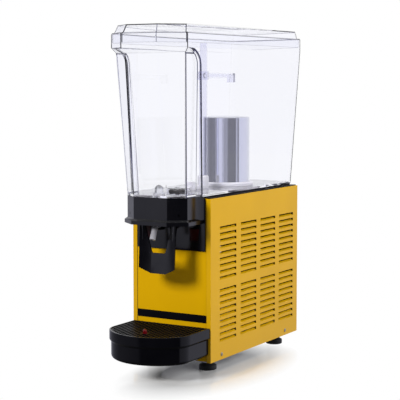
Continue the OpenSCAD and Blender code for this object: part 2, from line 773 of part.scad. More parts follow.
module return_bend(y, z) pipe([
  [cond_half, y, z], [cond_half + 8, y, z], [cond_half + 8, y, z + cond_step], [cond_half, y, z + cond_step]
], 8);

module condenser() color("#9aa0a3") from_front() {
  for (x = [-66:6:66]) translate([x - 0.4, cond_y, 45]) cube([0.8, 40, cond_top - 45]);
  both_sides() translate([cond_half - 2, cond_y, z0 + sheet]) cube([2, 40, cond_top - z0 - sheet]);
  for (y = cond_rows) {
    for (z = cond_zs) translate([-cond_half, y, z]) rotate([0, 90, 0]) cylinder(r = 4, h = 2 * cond_half);
    for (i = [0:len(cond_zs) - 2]) mirror([i % 2, 0, 0]) return_bend(y, cond_zs[i]);
  }
  translate([30, cond_rows[0], cond_zs[5]]) cylinder(r = 4, h = stub_z - cond_zs[5]);
  translate([-60, cond_rows[1], cond_zs[5]]) cylinder(r = 4, h = stub_z - cond_zs[5]);
}

module fan_shroud() color("#b9bbbd") from_front() {
  translate([0, 106, 0]) on_y(1.5) difference() {
    translate([-80, z0 + sheet]) square([160, 187]);
    translate([0, fan_z]) circle(r = 71);
  }
  translate([0, 116, fan_z]) rotate([90, 0, 0]) difference() {
    cylinder(r = 73, h = 11);
    translate([0, 0, -1]) cylinder(r = 71, h = 13);
  }
  translate([-80, 104.5, z0 + sheet]) cube([160, 14, 1.5]);
}

module fan_motor() color("#6f7276") from_front() {
  difference() {
    translate([0, 176, fan_z]) rotate([90, 0, 0]) cylinder(r = 25, h = 40);
    translate([0, 160, fan_z]) rotate([90, 0, 0]) cylinder(r = 3.05, h = 40);
  }
  translate([-20, 176, z0 + sheet]) cube([40, 2, fan_z]);
  translate([-20, 176, z0 + sheet]) cube([40, 20, 2]);
}

module fan_blade() color("#d5d7da") from_front() translate([0, 110, fan_z]) rotate([-90, 0, 0]) {
  cylinder(r = 15, h = 18);
  cylinder(r = 3, h = 48);
  for (a = [0:72:288]) rotate([0, 0, a]) translate([13, 0, 9]) rotate([28, 0, 0]) translate([0, -14, -0.6])
    linear_extrude(1.2) polygon([[0, 5], [0, 23], [52, 30], [55, 14], [52, -2]]);
}

module filter_drier() color(copper) from_front() translate([drier_x, drier_from, drier_z]) rotate([-90, 0, 0])
  rotate_extrude() polygon([
    [0, 0], [5, 0], [5, 6], [11, 14], [11, drier_len - 14], [5, drier_len - 6], [5, drier_len], [0, drier_len]
  ]);

module discharge_line() color(copper) from_front()
  pipe([
    [30, comp_y, stub_z], [30, comp_y, 250], [30, cond_rows[0], 250], [30, cond_rows[0], stub_z]
  ], pipe_d);

module suction_line() color(copper) from_front() pipe([
  [-20, comp_y, stub_z], [-20, comp_y, 290], [-20, drum_y, 290],
  [-20, drum_y, coil_z + coil_pitch * coil_turns],
  [coil_r, drum_y, coil_z + coil_pitch * coil_turns]
], pipe_d);

module liquid_line() color(copper) from_front()
  pipe([[-60, cond_rows[1], stub_z], [-60, cond_rows[1], drier_z], [-60, drier_from, drier_z]], pipe_d);

module capillary() color(copper) from_front() pipe([
  [drier_x, drier_from + drier_len, drier_z], [drier_x, drum_y - 14, drier_z], [drier_x, drum_y - 14, 320],
  [15, drum_y - 14, 320], [15, drum_y - 14, coil_z], [coil_r, drum_y, coil_z]
], 5);

module thermostat() color("#d8d5cc") from_front() {
  translate([-75, 372, z1 - 52]) cube([34, pan_back - 372, 40]);
  translate([-58, 372, z1 - 32]) rotate([90, 0, 0]) cylinder(r = 6, h = 8);
}

base_plate();
side_panel_left();
side_panel_right();
front_panel();
rear_panel();
label_strip();
top_deck();
foot_front_left();
foot_front_right();
foot_rear_left();
foot_rear_right();
side_screws();
cable_gland();
nose_collar();
switch_panel();
switch_frame_left();
switch_frame_right();
rocker_left();
rocker_right();
spout();
lever_pins();
lever_spring();
tap_lever();
piston();
piston_seal();
tank();
spigot_seal();
drum_seal();
pump_cover();
pump_duct();
impeller();
riser_tube();
spray_arm();
lid();
drip_tray();
drip_grid();
float();
cooling_drum();
drum_coil();
pump_motor();
motor_bracket();
drive_magnet();
compressor();
compressor_grommets();
condenser();
fan_shroud();
fan_motor();
fan_blade();
filter_drier();
discharge_line();
suction_line();
liquid_line();
capillary();
thermostat();
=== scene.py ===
import json
import math
import bpy
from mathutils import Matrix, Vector

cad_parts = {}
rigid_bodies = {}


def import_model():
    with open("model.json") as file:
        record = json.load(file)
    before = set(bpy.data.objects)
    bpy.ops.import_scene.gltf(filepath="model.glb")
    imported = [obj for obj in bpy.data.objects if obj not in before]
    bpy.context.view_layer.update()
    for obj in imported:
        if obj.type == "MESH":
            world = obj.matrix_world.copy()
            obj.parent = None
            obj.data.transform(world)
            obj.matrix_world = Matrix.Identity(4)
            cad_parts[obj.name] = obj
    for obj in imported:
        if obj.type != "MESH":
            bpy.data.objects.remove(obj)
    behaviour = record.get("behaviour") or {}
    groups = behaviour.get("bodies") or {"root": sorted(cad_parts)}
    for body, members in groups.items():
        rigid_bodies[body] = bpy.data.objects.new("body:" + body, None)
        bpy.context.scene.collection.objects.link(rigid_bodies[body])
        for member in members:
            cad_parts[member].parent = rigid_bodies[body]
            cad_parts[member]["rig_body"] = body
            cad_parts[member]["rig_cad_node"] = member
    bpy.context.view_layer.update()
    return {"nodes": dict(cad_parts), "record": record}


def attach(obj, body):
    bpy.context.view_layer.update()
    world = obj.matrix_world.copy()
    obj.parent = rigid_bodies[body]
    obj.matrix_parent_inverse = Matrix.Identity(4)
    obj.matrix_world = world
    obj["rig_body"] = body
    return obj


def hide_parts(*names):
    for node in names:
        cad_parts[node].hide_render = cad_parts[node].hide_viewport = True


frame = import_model()
nodes = frame["nodes"]
scene = bpy.context.scene
mm = 0.001
bodyOf = {name: node["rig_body"] for name, node in nodes.items()}
slotOf = {row["node"]: row["material_slot"] for row in frame["record"]["subparts"]}
print("frame loaded:", len(nodes), "nodes")

# camera, at the photograph's viewing angle
viewpoint = {
    "place": (1.3681, -2.3354, 0.6030),
    "turnLeft": 30.577,      # degrees from straight ahead
    "lookDown": 4.536,
    "lens": 112.58,
    "sensor": 36,
    "shiftY": -0.05,
    "clip": (0.05, 60),
}


def setCamera():
    bpy.ops.object.camera_add(location=viewpoint["place"])
    camera = bpy.context.active_object
    camera.name = "camera"
    tilt = math.radians(90 - viewpoint["lookDown"])
    turn = math.radians(viewpoint["turnLeft"])
    camera.rotation_euler = (tilt, 0, turn)
    camera.data.lens = viewpoint["lens"]
    camera.data.sensor_width = viewpoint["sensor"]
    camera.data.shift_y = viewpoint["shiftY"]
    camera.data.clip_start, camera.data.clip_end = viewpoint["clip"]
    scene.camera = camera


setCamera()
scene.view_settings.view_transform = "Standard"


# node helpers for the finishes, all of them on Object coordinates in metres

def startFinish(name, colour, sockets):
    finish = bpy.data.materials.new(name)
    finish.use_nodes = True
    tree = finish.node_tree
    shader = tree.nodes["Principled BSDF"]
    shader.inputs["Base Color"].default_value = (*colour, 1)
    for socket, value in sockets.items():
        shader.inputs[socket].default_value = value
    return finish, tree, shader


def noiseOf(tree, scale, detail, stretch=(1, 1, 1)):
    coord = tree.nodes.new("ShaderNodeTexCoord")
    mapping = tree.nodes.new("ShaderNodeMapping")
    mapping.inputs["Scale"].default_value = stretch
    noise = tree.nodes.new("ShaderNodeTexNoise")
    noise.inputs["Scale"].default_value = scale
    noise.inputs["Detail"].default_value = detail
    tree.links.new(coord.outputs["Object"], mapping.inputs["Vector"])
    tree.links.new(mapping.outputs["Vector"], noise.inputs["Vector"])
    return noise.outputs["Fac"]


def spread(tree, value, low, high, fromLow=0.3, fromHigh=0.7):
    rangeNode = tree.nodes.new("ShaderNodeMapRange")
    rangeNode.inputs["From Min"].default_value = fromLow
    rangeNode.inputs["From Max"].default_value = fromHigh
    rangeNode.inputs["To Min"].default_value = low
    rangeNode.inputs["To Max"].default_value = high
    tree.links.new(value, rangeNode.inputs["Value"])
    return rangeNode.outputs["Result"]


def mixColours(tree, factor, first, second):
    mix = tree.nodes.new("ShaderNodeMix")
    mix.data_type = "RGBA"
    tree.links.new(factor, mix.inputs["Factor"])
    for socket, colour in (("A", first), ("B", second)):
        if isinstance(colour, bpy.types.NodeSocket):
            tree.links.new(colour, mix.inputs[socket])
        else:
            mix.inputs[socket].default_value = (*colour, 1)
    return mix.outputs["Result"]


def mathOf(tree, operation, first, second):
    node = tree.nodes.new("ShaderNodeMath")
    node.operation = operation
    for socket, value in zip(node.inputs, (first, second)):
        if isinstance(value, bpy.types.NodeSocket):
            tree.links.new(value, socket)
        else:
            socket.default_value = value
    return node.outputs["Value"]


def varyColour(tree, shader, factor, first, second):
    tree.links.new(mixColours(tree, factor, first, second), shader.inputs["Base Color"])


def varyRoughness(tree, shader, value, span):
    tree.links.new(spread(tree, value, *span), shader.inputs["Roughness"])


def addBump(tree, shader, height, distance):
    bump = tree.nodes.new("ShaderNodeBump")
    bump.inputs["Distance"].default_value = distance
    tree.links.new(height, bump.inputs["Height"])
    tree.links.new(bump.outputs["Normal"], shader.inputs["Normal"])


# sheet enamel: patches vary its colour, the peel of the paint its gloss and surface
# noises are given by scale and detail, roughness by its span, depths in metres
enamel = {
    "patches": (9, 2),
    "colours": ((0.635, 0.352, 0.001), (0.6, 0.332, 0.0015)),
    "peel": (620, 2),
    "depth": 0.00005,
    "roughness": (0.4, 0.5),
}


def yellowEnamel(name, shine):
    finish, tree, shader = startFinish(name, enamel["colours"][0], {"Specular IOR Level": shine})
    patches = noiseOf(tree, *enamel["patches"])
    varyColour(tree, shader, spread(tree, patches, 0, 1), *enamel["colours"])
    peel = noiseOf(tree, *enamel["peel"])
    varyRoughness(tree, shader, peel, enamel["roughness"])
    addBump(tree, shader, peel, enamel["depth"])
    return finish


# clear plastic, with faint wipe marks
clear = {
    "sockets": {"Transmission Weight": 1.0, "IOR": 1.42, "Specular Tint": (0.5, 0.5, 0.55, 1)},
    "wipes": (7, 3),
    "depth": 0.0002,
    "spread": 0.02,
}


def clearPlastic(name, tint, haze):
    finish, tree, shader = startFinish(name, tint, clear["sockets"])
    wipes = noiseOf(tree, *clear["wipes"])
    varyRoughness(tree, shader, wipes, (haze, haze + clear["spread"]))
    addBump(tree, shader, wipes, clear["depth"])
    return finish


# the piston's half-clear plastic
frosted = {
    "tint": (0.9, 0.905, 0.94),
    "sockets": {"Transmission Weight": 0.9, "IOR": 1.45},
    "haze": (90, 3),
    "roughness": (0.08, 0.18),
}


def frostedPlastic():
    finish, tree, shader = startFinish("frostedPlastic", frosted["tint"], frosted["sockets"])
    varyRoughness(tree, shader, noiseOf(tree, *frosted["haze"]), frosted["roughness"])
    return finish


# the other finishes: clouds vary colour and gloss together, and a finer grain may stand up by its depth
black = {
    "clouds": (26, 4),
    "colours": ((0.0015, 0.0015, 0.0024), (0.0024, 0.0023, 0.0034)),
    "grain": (380, 2),
    "depth": 0.00002,
}
white = {
    "clouds": (45, 3),
    "roughness": (0.26, 0.4),
    "grain": (500, 2),
    "depth": 0.00003,
    "sockets": {"Subsurface Weight": 0.25, "Subsurface Radius": (0.004, 0.004, 0.005)},
}
red = {"clouds": (120, 3), "roughness": (0.14, 0.26)}
metal = {"sockets": {"Metallic": 1.0}}
brushed = (60, 4, (1, 1, 28))          # drawn out round the drum
looks = {
    "blackPlastic": {**black, "roughness": (0.12, 0.22), "sockets": {"Specular IOR Level": 0.5}},
    "trayPlastic": {**black, "roughness": (0.12, 0.22), "sockets": {"Specular IOR Level": 0.17}},
    "gridPlastic": {**black, "roughness": (0.36, 0.46), "sockets": {"Specular IOR Level": 0.08}},
    "whitePlastic": {**white, "colours": ((0.515, 0.505, 0.55), (0.46, 0.45, 0.49))},
    "spoutPlastic": {**white, "colours": ((0.309, 0.303, 0.33), (0.276, 0.27, 0.294))},
    # the rockers' own smoky dark red, darkened further by painted shade for the shadow they sit in under
    # the nose
    "shadedRedRocker": {**red, "colours": ((0.022, 0.0008, 0.0013), (0.03, 0.001, 0.002))},
    "redFloat": {**red, "colours": ((0.07, 0.0015, 0.002), (0.09, 0.002, 0.003))},
    "darkPlastic": {
        "clouds": (150, 3), "colours": ((0.018, 0.016, 0.015), (0.03, 0.027, 0.025)),
        "roughness": (0.38, 0.55),
    },
    "footRubber": {
        "clouds": (60, 4), "colours": ((0.006, 0.006, 0.0065), (0.013, 0.0125, 0.012)),
        "roughness": (0.5, 0.75), "grain": (700, 2), "depth": 0.0001,
    },
    "compressorPaint": {
        "clouds": (40, 4), "colours": ((0.013, 0.013, 0.014), (0.024, 0.023, 0.023)),
        "roughness": (0.28, 0.46), "grain": (300, 2), "depth": 0.00005,
    },
    "drumSteel": {
        **metal, "clouds": brushed, "colours": ((0.7, 0.71, 0.77), (0.63, 0.64, 0.7)),
        "roughness": (0.04, 0.1), "grain": brushed, "depth": 0.00001,
    },
    "zincSheet": {
        **metal, "clouds": (140, 3), "colours": ((0.54, 0.55, 0.56), (0.42, 0.43, 0.45)),
        "roughness": (0.3, 0.5),
    },
    "platedSteel": {
        **metal, "clouds": (800, 3), "colours": ((0.48, 0.44, 0.36), (0.38, 0.35, 0.29)),
        "roughness": (0.22, 0.42),
    },
    "finAluminium": {
        **metal, "clouds": (110, 3), "colours": ((0.64, 0.65, 0.66), (0.48, 0.49, 0.5)),
        "roughness": (0.3, 0.5),
    },
    "copperPipe": {
        **metal, "clouds": (70, 3), "colours": ((0.64, 0.28, 0.15), (0.34, 0.15, 0.09)),
        "roughness": (0.26, 0.46),
    },
}


def cloudedFinish(name):
    look = looks[name]
    finish, tree, shader = startFinish(name, look["colours"][0], look.get("sockets", {}))
    clouds = noiseOf(tree, *look["clouds"])
    varyColour(tree, shader, spread(tree, clouds, 0, 1), *look["colours"])
    varyRoughness(tree, shader, clouds, look["roughness"])
    if "grain" in look:
        addBump(tree, shader, noiseOf(tree, *look["grain"]), look["depth"])
    return finish


finishes = {
    "yellow_enamel": yellowEnamel("yellowEnamel", 0.35),
    "black_plastic": cloudedFinish("blackPlastic"),
    "rubber": cloudedFinish("footRubber"),
    "clear_plastic": clearPlastic("clearPlastic", (0.977, 0.98, 1.0), 0.0),
    "frosted_plastic": frostedPlastic(),
    "white_plastic": cloudedFinish("whitePlastic"),
    "red_rocker": cloudedFinish("shadedRedRocker"),
    "red_float": cloudedFinish("redFloat"),
    "dark_plastic": cloudedFinish("darkPlastic"),
    "drum_steel": cloudedFinish("drumSteel"),
    "zinc_sheet": cloudedFinish("zincSheet"),
    "plated_steel": cloudedFinish("platedSteel"),
    "black_enamel": cloudedFinish("compressorPaint"),
    "fin_aluminium": cloudedFinish("finAluminium"),
    "copper": cloudedFinish("copperPipe"),
}
# pieces that differ from the rest of their slot
special = {
    "riser_tube": clearPlastic("tubePlastic", (0.92, 0.92, 0.975), 0.06),
    "drip_tray": cloudedFinish("trayPlastic"),
    "drip_grid": cloudedFinish("gridPlastic"),
    "spout": cloudedFinish("spoutPlastic"),
    "front_panel": yellowEnamel("frontEnamel", 0.08),
}
special["spray_arm"] = special["riser_tube"]
special["label_strip"] = special["drip_grid"]
special["top_deck"] = special["drip_grid"]
# painted shade for the dark lines along the thick edges of the clear pieces
edgeShadeFinish = clearPlastic("paintedEdgeShade", (0.01, 0.01, 0.04), 0.0)
print("finishes:", len(bpy.data.materials))


# modelling helpers: distances in mm, angles in degrees
meshing = {
    "copyJoin": 0.002,                 # in a solid's copy, points nearer than this are joined
    "copyFlat": 0.6,                   # and faces flatter than this are merged
    "turnedJoin": 0.005,
    "turnedSmooth": 35,
    "softFrom": 28,                    # edges sharper than this are softened
    "normalWeight": 80,
}


def deselectAll():
    if bpy.context.mode != "OBJECT":
        bpy.ops.object.mode_set(mode="OBJECT")
    bpy.ops.object.select_all(action="DESELECT")


def makeActive(piece):
    deselectAll()
    piece.select_set(True)
    bpy.context.view_layer.objects.active = piece


def applyModifier(piece, kind, **settings):
    makeActive(piece)
    modifier = piece.modifiers.new(kind.lower(), kind)
    for key, value in settings.items():
        setattr(modifier, key, value)
    bpy.ops.object.modifier_apply(modifier=modifier.name)


def dress(piece, nodeName):
    piece.data.materials.clear()
    piece.data.materials.append(special.get(nodeName, finishes[slotOf[nodeName]]))
    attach(piece, bodyOf[nodeName])


def weightNormals(piece):
    applyModifier(piece, "WEIGHTED_NORMAL", weight=meshing["normalWeight"], keep_sharp=True)


def softenEdges(piece, width, steps):
    applyModifier(piece, "BEVEL", width=width * mm, segments=steps, limit_method="ANGLE",
                  angle_limit=math.radians(meshing["softFrom"]), use_clamp_overlap=True,
                  miter_outer="MITER_ARC")
    bpy.ops.object.shade_smooth()
    weightNormals(piece)


def copyOfNode(nodeName, pieceName):
    makeActive(nodes[nodeName])
    bpy.ops.object.duplicate()
    piece = bpy.context.active_object
    piece.name = pieceName
    piece.data.name = pieceName
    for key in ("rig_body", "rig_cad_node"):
        del piece[key]
    bpy.ops.object.parent_clear(type="CLEAR_KEEP_TRANSFORM")
    bpy.ops.mesh.customdata_custom_splitnormals_clear()
    bpy.ops.object.mode_set(mode="EDIT")
    bpy.ops.mesh.select_all(action="SELECT")
    bpy.ops.mesh.remove_doubles(threshold=meshing["copyJoin"] * mm)
    flat = math.radians(meshing["copyFlat"])
    if nodeName in holed:
        bpy.ops.mesh.tris_convert_to_quads(face_threshold=flat, shape_threshold=math.pi)
    else:
        bpy.ops.mesh.dissolve_limited(angle_limit=flat)
    bpy.ops.object.mode_set(mode="OBJECT")
    return piece


def turnedPiece(pieceName, centre, profile, steps):
    # a single vertex is extruded along the profile of (radius, height) and spun about the upright axis
    deselectAll()
    bpy.ops.mesh.primitive_plane_add(size=mm)
    piece = bpy.context.active_object
    piece.name = pieceName
    piece.data.name = pieceName
    bpy.ops.object.mode_set(mode="EDIT")
    bpy.ops.mesh.select_all(action="SELECT")
    bpy.ops.mesh.merge(type="CENTER")
    place = Vector((0, 0, 0))
    for count, (radius, height) in enumerate(profile):
        target = Vector((radius * mm, 0, height * mm))
        if count == 0:
            bpy.ops.transform.translate(value=target - place)
        else:
            bpy.ops.mesh.extrude_region_move(TRANSFORM_OT_translate={"value": target - place})
        place = target
    bpy.ops.mesh.select_all(action="SELECT")
    bpy.ops.mesh.spin(steps=steps, angle=math.tau, center=(0, 0, 0), axis=(0, 0, 1))
    bpy.ops.mesh.select_all(action="SELECT")
    bpy.ops.mesh.remove_doubles(threshold=meshing["turnedJoin"] * mm)
    bpy.ops.mesh.normals_make_consistent(inside=False)
    bpy.ops.transform.translate(value=centre)
    bpy.ops.object.mode_set(mode="OBJECT")
    bpy.ops.object.shade_smooth_by_angle(angle=math.radians(meshing["turnedSmooth"]))
    return piece


def arcOf(centre, radius, fromAngle, toAngle, steps):
    angles = [math.radians(fromAngle + (toAngle - fromAngle) * i / steps) for i in range(steps + 1)]
    return [(centre[0] + radius * math.cos(a), centre[1] + radius * math.sin(a)) for a in angles]


# pieces that keep their solid's form and get rounded edges: width in mm and steps of the rounding
roundings = {
    "side_panel_left": (0.4, 2), "side_panel_right": (0.4, 2),
    "rear_panel": (0.4, 2), "front_panel": (0.4, 2),
    "base_plate": (0.4, 2), "top_deck": (0.8, 2), "label_strip": (0.2, 2),
    "nose_collar": (1.0, 3), "switch_panel": (0.8, 3),
    "switch_frame_left": (0.6, 3), "switch_frame_right": (0.6, 3),
    "rocker_left": (0.6, 3), "rocker_right": (0.6, 3),
    "tap_lever": (0.9, 3), "spout": (0.6, 3), "piston": (0.3, 2),
    "tank": (1.2, 4), "lid": (1.0, 3), "pump_cover": (0.5, 3), "pump_duct": (0.6, 3), "spray_arm": (0.5, 3),
    "riser_tube": (0.4, 2), "drip_tray": (0.8, 3), "drip_grid": (0.5, 2), "impeller": (0.3, 2),
}
# sheets with many openings, whose faces are only paired to quads
holed = (
    "side_panel_left", "side_panel_right", "rear_panel", "front_panel",
    "base_plate", "top_deck", "drip_grid",
)
clearPieces = ("tank", "lid", "pump_cover", "spray_arm", "riser_tube")
# louvred sheets: the way each faces, and how far the free edges of its flaps move in and up, in mm
vented = {
    "side_panel_left": ((-1, 0, 0), 0, 1.6),
    "side_panel_right": ((1, 0, 0), 1.2, -2.2),
    "rear_panel": ((0, 1, 0), 0, 2.4),
}
ventArea = {
    "heights": (60, 310), "depths": (3.5, 5.6),        # where the flaps' free edges are
    "backFacing": -0.5, "edgeFacing": 0.3, "edgeArea": 100,      # which faces get the painted shade
}
# upright edges beside the tank's faceted front: where they are, how sharp, and how far they may lean
tankEdges = {
    "join": 0.25, "front": -216, "rear": -150, "inmost": 66, "sharpFrom": 25, "lean": 0.35, "smooth": 30,
}
shadedEdges = {"pieces": ("tank", "lid"), "strip": 1.1}      # faces narrower than the strip get the painted edge shade


def roundTankEdges(piece, width, steps):
    # only these edges are rounded, so that they show as dark lines and the facets' other edges stay faint
    makeActive(piece)
    bpy.ops.object.mode_set(mode="EDIT")
    bpy.ops.mesh.select_all(action="SELECT")
    bpy.ops.mesh.remove_doubles(threshold=tankEdges["join"] * mm)
    bpy.ops.mesh.select_mode(type="EDGE")
    bpy.ops.mesh.select_all(action="DESELECT")
    bpy.ops.mesh.edges_select_sharp(sharpness=math.radians(tankEdges["sharpFrom"]))
    bpy.ops.object.mode_set(mode="OBJECT")
    weights = piece.data.attributes.new("bevel_weight_edge", "FLOAT", "EDGE")
    places = piece.data.vertices
    count = 0
    for edge in piece.data.edges:
        ends = [places[i].co for i in edge.vertices]
        upright = abs((ends[1] - ends[0]).normalized().x) < tankEdges["lean"]
        inDepth = all(tankEdges["front"] * mm < end.y < tankEdges["rear"] * mm for end in ends)
        outside = all(abs(end.x) > tankEdges["inmost"] * mm for end in ends)
        if edge.select and upright and inDepth and outside:
            weights.data[edge.index].value = 1
            count += 1
    scene.tool_settings.mesh_select_mode = (True, False, False)      # back to points for the next piece
    applyModifier(piece, "BEVEL", width=width * mm, segments=steps, limit_method="WEIGHT",
                  use_clamp_overlap=False)
    bpy.ops.object.shade_smooth_by_angle(angle=math.radians(tankEdges["smooth"]))
    weightNormals(piece)
    print("tank edges rounded:", count)


def paintEdgeShade(piece):
    # painted shade: the narrow faces of the roundings get a dark tint, standing in for the dark lines that
    # refraction gives thick clear edges
    piece.data.materials.append(edgeShadeFinish)
    places = piece.data.vertices
    count = 0
    for face in piece.data.polygons:
        sides = [(places[first].co - places[second].co).length for first, second in face.edge_keys]
        if face.area / max(sides) < shadedEdges["strip"] * mm:
            face.material_index = 1
            count += 1
    print(piece.name, "edge faces:", count)


def bendFlaps(piece, nodeName):
    outward, moveIn, moveUp = vented[nodeName]
    outward = Vector(outward)
    outside = max(vertex.co.dot(outward) for vertex in piece.data.vertices)
    nearest, deepest = ventArea["depths"]
    lowest, highest = ventArea["heights"]
    count = 0
    for vertex in piece.data.vertices:
        depth = outside - vertex.co.dot(outward)
        if nearest * mm < depth < deepest * mm and lowest * mm < vertex.co.z < highest * mm:
            vertex.co += Vector((0, 0, moveUp * mm)) - outward * moveIn * mm
            count += 1
    print(nodeName, "flap corners:", count)


def paintLouvreShade(piece, nodeName):
    # painted shade: the inner faces and the cut edges of the louvres get the dark compressor paint, so that
    # the slots and the cabinet's inside look shaded
    outward = Vector(vented[nodeName][0])
    lowest, highest = ventArea["heights"]
    piece.data.materials.append(finishes["black_enamel"])
    for face in piece.data.polygons:
        facing = face.normal.dot(outward)
        amongLouvres = lowest * mm < face.center.z < highest * mm
        cutEdge = facing < ventArea["edgeFacing"] and face.area < ventArea["edgeArea"] * mm * mm
        if facing < ventArea["backFacing"] or (amongLouvres and cutEdge):
            face.material_index = 1


def makeRoundedPieces():
    for nodeName, (width, steps) in roundings.items():
        piece = copyOfNode(nodeName, nodeName + ".rounded")
        if nodeName in vented:
            bendFlaps(piece, nodeName)
        if nodeName == "tank":
            roundTankEdges(piece, width, steps)
        else:
            softenEdges(piece, width, steps)
        dress(piece, nodeName)
        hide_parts(nodeName)
        if nodeName in vented:
            # painted shade in the louvre slots and on the sheet's inner faces
            paintLouvreShade(piece, nodeName)
        if nodeName in shadedEdges["pieces"]:
            paintEdgeShade(piece)
        if nodeName in clearPieces:
            piece.visible_shadow = False      # clear plastic lets the lamps through
    print("rounded pieces:", len(roundings))


makeRoundedPieces()

# steel cooling drum, with a rolled foot and a shallow recess in its top
drum = {
    "place": (0, 0.0895, 0), "radius": 53, "wall": 1.2, "foot": 364, "top": 524, "shoulder": 4,
    "flange": 4.6,
    "roll": (4.25, 0.75),              # the rolled foot: its place beyond the wall, and radius
    "fillet": (1.2, 2.7),              # the hollow over the foot: radius and height
    "recess": (5, 6, 0.5),             # in the top: from and to, inwards of the shoulder, and depth
    "lidWall": 1.7,
    "steps": 128,
    "inside": ("drum_coil", "suction_line", "capillary"),
}


def makeDrum():
    r, foot, top, bend = drum["radius"], drum["foot"], drum["top"], drum["shoulder"]
    inner = r - drum["wall"]
    out, roll = drum["roll"]
    fillet, filletHeight = drum["fillet"]
    rim, dip, deep = drum["recess"]
    under = top - drum["lidWall"]
    profile = [(inner, foot), (r + drum["flange"], foot)]
    profile += arcOf((r + out, foot + roll), roll, -90, 90, 6)
    profile += arcOf((r + fillet, foot + filletHeight), fillet, 270, 180, 5)
    profile += arcOf((r - bend, top - bend), bend, 0, 90, 9)
    profile += [(r - bend - rim, top), (r - bend - dip, top - deep), (0, top - deep)]
    profile += [(0, under), (r - bend, under), (inner, top - bend), (inner, foot)]
    piece = turnedPiece("cooling_drum.turned", drum["place"], profile, drum["steps"])
    dress(piece, "cooling_drum")
    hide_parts("cooling_drum")
    for shiny in (piece, *[nodes[name] for name in drum["inside"]]):
        shiny.visible_glossy = False          # no second drum in the tank's far wall
    print("drum: height", top - foot, "mm")


makeDrum()

# moulded seal round the drum's foot, in the tank's floor
drumSeal = {
    "bore": 53.3, "under": 365.8, "skirt": 59, "groove": (56, 368, 372), "flange": 61, "top": 381,
    "edge": 0.7, "bend": 1.5, "drop": 3.8, "slope": 53, "crown": 2.4, "rim": 0.6,
    "steps": 128,
}


def makeDrumSeal():
    bore, top, flange, under = drumSeal["bore"], drumSeal["top"], drumSeal["flange"], drumSeal["under"]
    neck, grooveLow, grooveHigh = drumSeal["groove"]
    skirt, edge, bend, rim = drumSeal["skirt"], drumSeal["edge"], drumSeal["bend"], drumSeal["rim"]
    profile = [(bore, under), (skirt, under), (skirt, grooveLow), (neck, grooveLow), (neck, grooveHigh)]
    profile += arcOf((flange - edge, grooveHigh + edge), edge, -90, 0, 4)
    profile += arcOf((flange - bend, top - drumSeal["drop"]), bend, 0, drumSeal["slope"], 5)
    profile += arcOf((bore + drumSeal["crown"], top - bend), bend, drumSeal["slope"], 90, 4)
    profile += arcOf((bore + rim, top - rim), rim, 90, 180, 4)
    profile += [(bore, under)]
    piece = turnedPiece("drum_seal.turned", drum["place"], profile, drumSeal["steps"])
    dress(piece, "drum_seal")
    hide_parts("drum_seal")


makeDrumSeal()

# rubber feet, with a hollowed tread and two rings round the pad
feet = {
    "foot_front_left": (-0.066, -0.0995, 0), "foot_front_right": (0.066, -0.0995, 0),
    "foot_rear_left": (-0.066, 0.2035, 0), "foot_rear_right": (0.066, 0.2035, 0),
}
footShape = {
    "pad": 18.5, "neck": 13, "head": 15.5, "height": 22, "steps": 72,
    "tread": (11.5, 12.3, 0.8),        # radii of the hollow under the pad, and its depth
    "heel": 1.6,
    "rings": (3.6, 5.6),
    "groove": (0.5, 0.3, 0.7, 1.0),    # of a ring: depth, and its three heights above the ring's start
    "padTop": (2.2, 8.2, 65),          # of a bend: radius, height of its centre, and slope where it ends
    "neckFoot": (1.4, 13.2),
    "neckTop": (1, 16.6, 110),
    "headEdge": (0.3, 18.6, 19),       # chamfer, and the heights it spans
}


def makeFeet():
    pad, neck, head, high = footShape["pad"], footShape["neck"], footShape["head"], footShape["height"]
    hollow, tread, lift = footShape["tread"]
    heel = footShape["heel"]
    profile = [(0, lift), (hollow, lift), (tread, 0)]
    profile += arcOf((pad - heel, heel), heel, -90, 0, 5)
    deep, begin, back, end = footShape["groove"]
    for ring in footShape["rings"]:
        profile += [(pad, ring), (pad - deep, ring + begin), (pad - deep, ring + back), (pad, ring + end)]
    bend, height, slope = footShape["padTop"]
    profile += arcOf((pad - bend, height), bend, 0, slope, 6)
    bend, height = footShape["neckFoot"]
    profile += arcOf((neck + bend, height), bend, 180 + slope, 180, 4)
    bend, height, slope = footShape["neckTop"]
    profile += arcOf((neck + bend, height), bend, 180, slope, 3)
    chamfer, low, full = footShape["headEdge"]
    profile += [(head - chamfer, low), (head, full), (head, high), (0, high)]
    for nodeName, place in feet.items():
        piece = turnedPiece(nodeName + ".turned", place, profile, footShape["steps"])
        dress(piece, nodeName)
        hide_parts(nodeName)
    print("feet:", len(feet))


makeFeet()

# red float: a hollow base in the tray and a pin that shows above the grid
floatShape = {
    "place": (0, -0.2395, 0), "under": 39.8, "base": 12, "shoulder": 52.8, "pin": 4.5, "tip": 102,
    "bore": 2.65, "boreDepth": 29, "heel": 1, "bend": 1.5, "fillet": 1, "steps": 64,
}


def makeFloat():
    under, base, shoulder = floatShape["under"], floatShape["base"], floatShape["shoulder"]
    pin, tip, bore = floatShape["pin"], floatShape["tip"], floatShape["bore"]
    heel, bend, fillet = floatShape["heel"], floatShape["bend"], floatShape["fillet"]
    boreTop = under + floatShape["boreDepth"]
    profile = [(bore, under)]
    profile += arcOf((base - heel, under + heel), heel, -90, 0, 4)
    profile += arcOf((base - bend, shoulder - bend), bend, 0, 90, 5)
    profile += arcOf((pin + fillet, shoulder + fillet), fillet, 270, 180, 4)
    profile += arcOf((0, tip - pin), pin, 0, 90, 10)
    profile += [(0, boreTop), (bore, boreTop), (bore, under)]
    piece = turnedPiece("float.turned", floatShape["place"], profile, floatShape["steps"])
    dress(piece, "float")
    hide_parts("float")


makeFloat()

# pan-head screws with a cross recess, two on each side
screws = {
    "ys": (-91.8, 201.5), "z": 33, "side": 95, "head": 4.2, "shank": 2.0, "shankLength": 5,
    "rim": 0.35, "crown": 1.25, "slot": (4.6, 0.9, 1.1),
    "turn": 18,                        # degrees that each stands turned from the one before
    "steps": 40,
}


